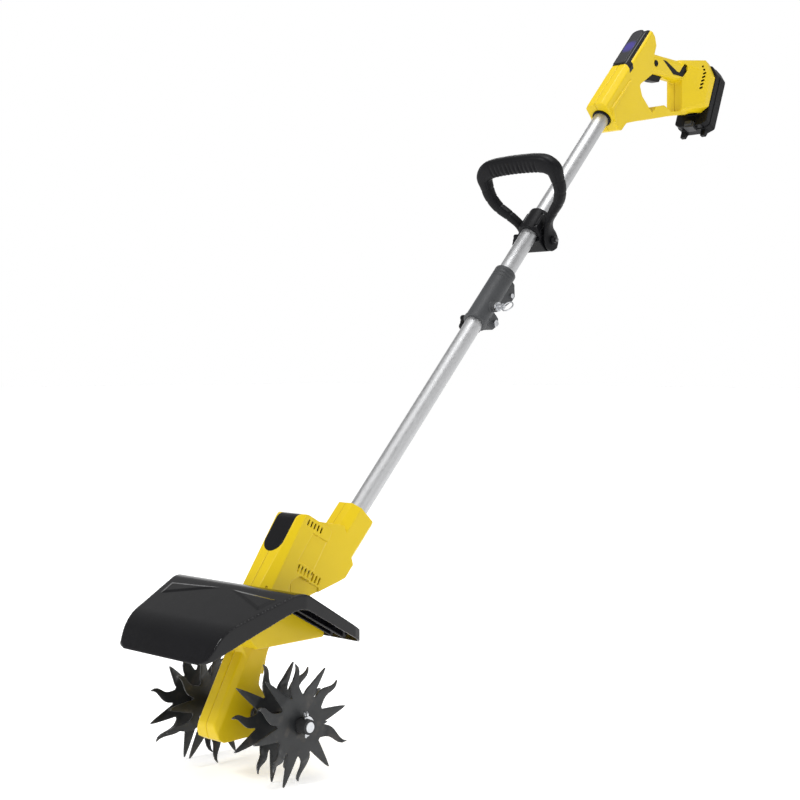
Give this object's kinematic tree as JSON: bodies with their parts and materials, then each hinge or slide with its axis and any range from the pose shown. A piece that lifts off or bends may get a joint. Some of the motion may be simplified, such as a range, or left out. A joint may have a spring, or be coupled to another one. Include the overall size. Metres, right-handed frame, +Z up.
{
  "type": "mini cultivator",
  "caption": "Battery hand cultivator: spoked tine wheels under a guard, motor head, straight two-part shaft, loop handle and rear trigger grip.",
  "frame": {"origin": "centre of the tine axle, on its axis and midway between the tine wheels", "axes": "+Z up as the tool stands in use, -Y ahead of the user, +X along the tine axle to the side of the coupling lock pin"},
  "size_m": [0.262, 1.359, 1.1745],
  "materials": {
    "yellow": "moulded housing plastic, satin gloss",
    "black_plastic": "textured moulded plastic",
    "gloss_black": "smooth moulded plastic",
    "dark_grey_plastic": "moulded plastic",
    "display_glass": "tinted cover",
    "aluminium_tube": "drawn, satin",
    "coupling_grey": "reinforced plastic",
    "steel": "zinc plated",
    "black_steel": "blackened",
    "tine_steel": "black paint, worn at the tips",
    "bronze": "machined",
    "copper": "contact springs",
    "board": "coated circuit board",
    "cable": "insulated wire",
    "white_plastic": "connector body",
    "cell_wrap": "shrink sleeve",
    "seal_rubber": "moulded lip seal",
    "motor_steel": "drawn can"
  },
  "bodies": {
    "handle": {"handle_left_shell": "yellow", "handle_right_shell": "yellow", "handle_screws": "steel", "display_bezel": "gloss_black", "display_window": "display_glass", "grip_inlays": "black_plastic", "trigger_switch": "dark_grey_plastic", "control_board": "board", "battery_dock": "black_plastic", "dock_contacts": "copper", "tube_ring": "black_plastic", "upper_tube": "aluminium_tube", "upper_cable": "cable", "upper_connector": "white_plastic", "coupling_sleeve": "coupling_grey", "coupling_screw": "steel", "clamp_bolt": "steel"},
    "trigger": {"trigger": "black_plastic"},
    "lock_button": {"lock_button": "black_plastic"},
    "battery": {"battery_top_case": "black_plastic", "battery_base_case": "black_plastic", "battery_cells": "cell_wrap", "battery_contacts": "copper"},
    "battery_latch": {"battery_latch": "dark_grey_plastic"},
    "clamp": {"loop_clamp": "black_plastic", "loop_clamp_cap": "black_plastic", "loop_clamp_screws": "black_steel", "loop_bolt": "black_steel"},
    "loop": {"loop_handle": "black_plastic"},
    "loop_knob": {"loop_knob": "black_plastic"},
    "coupling_knob": {"clamp_knob": "black_plastic"},
    "lock_pin": {"lock_pin": "steel"},
    "head": {"lower_tube": "aluminium_tube", "tube_end_front": "motor_steel", "tube_end_back": "motor_steel", "lower_cable": "cable", "lower_connector": "white_plastic", "housing_left": "yellow", "housing_right": "yellow", "housing_screws": "steel", "housing_inlay": "gloss_black", "motor_can": "motor_steel", "shaft_bearings": "steel", "leg_left": "yellow", "leg_right": "yellow", "leg_screws": "steel", "guard": "gloss_black", "guard_bolts": "steel", "axle_bearings": "steel", "axle_seals": "seal_rubber"},
    "tines": {"tine_axle": "steel", "worm_wheel": "bronze", "tine_disc_left_outer": "tine_steel", "tine_disc_left_inner": "tine_steel", "tine_disc_right_inner": "tine_steel", "tine_disc_right_outer": "tine_steel", "tine_hubs": "black_plastic", "retaining_clips": "steel"},
    "drive": {"drive_shaft": "steel", "motor_rotor": "motor_steel"}
  },
  "joints": [
    {"name": "trigger_squeeze", "type": "hinge", "parent": "handle", "child": "trigger", "pos_m": [0, 0.9743, 1.0195], "axis": [1, 0, 0], "range_deg": [0, 8], "stiffness_Nm_per_rad": 2, "springref_deg": -8.59},
    {"name": "lock_button_slide", "type": "slide", "parent": "handle", "child": "lock_button", "axis": [1, 0, 0], "range_m": [-0.003, 0.003], "stiffness_N_per_m": 400},
    {"name": "battery_slide", "type": "slide", "parent": "handle", "child": "battery", "axis": [0, -0.3795, -0.9252], "range_m": [0, 0.095]},
    {"name": "battery_latch_press", "type": "slide", "parent": "battery", "child": "battery_latch", "axis": [0, 0.3795, 0.9252], "range_m": [0, 0.003], "stiffness_N_per_m": 800, "springref_m": -0.002},
    {"name": "loop_clamp_slide", "type": "slide", "parent": "handle", "child": "clamp", "axis": [0, 0.6871, 0.7266], "range_m": [-0.05, 0.15]},
    {"name": "loop_tilt", "type": "hinge", "parent": "clamp", "child": "loop", "pos_m": [0, 0.65572, 0.68467], "axis": [1, 0, 0], "range_deg": [-40, 35]},
    {"name": "loop_knob_turn", "type": "hinge", "parent": "clamp", "child": "loop_knob", "pos_m": [0, 0.65572, 0.68467], "axis": [1, 0, 0], "continuous": true},
    {"name": "coupling_knob_turn", "type": "hinge", "parent": "handle", "child": "coupling_knob", "pos_m": [0, 0.51985, 0.54202], "axis": [1, 0, 0], "continuous": true},
    {"name": "lock_pin_pull", "type": "slide", "parent": "handle", "child": "lock_pin", "axis": [1, 0, 0], "range_m": [0, 0.006], "stiffness_N_per_m": 600, "springref_m": -0.003},
    {"name": "head_slide", "type": "slide", "parent": "handle", "child": "head", "axis": [0, -0.6871, -0.7266], "range_m": [0, 0.07]},
    {"name": "tine_spin", "type": "hinge", "parent": "head", "child": "tines", "pos_m": [0, 0, 0], "axis": [1, 0, 0], "continuous": true},
    {"name": "drive_spin", "type": "hinge", "parent": "head", "child": "drive", "pos_m": [0, -0.0328, 0.01818], "axis": [0, 0.4848, 0.8746], "continuous": true}
  ],
  "couplings": [
    {"joint": "drive_spin", "follows": "tine_spin", "ratio": 24}
  ]
}
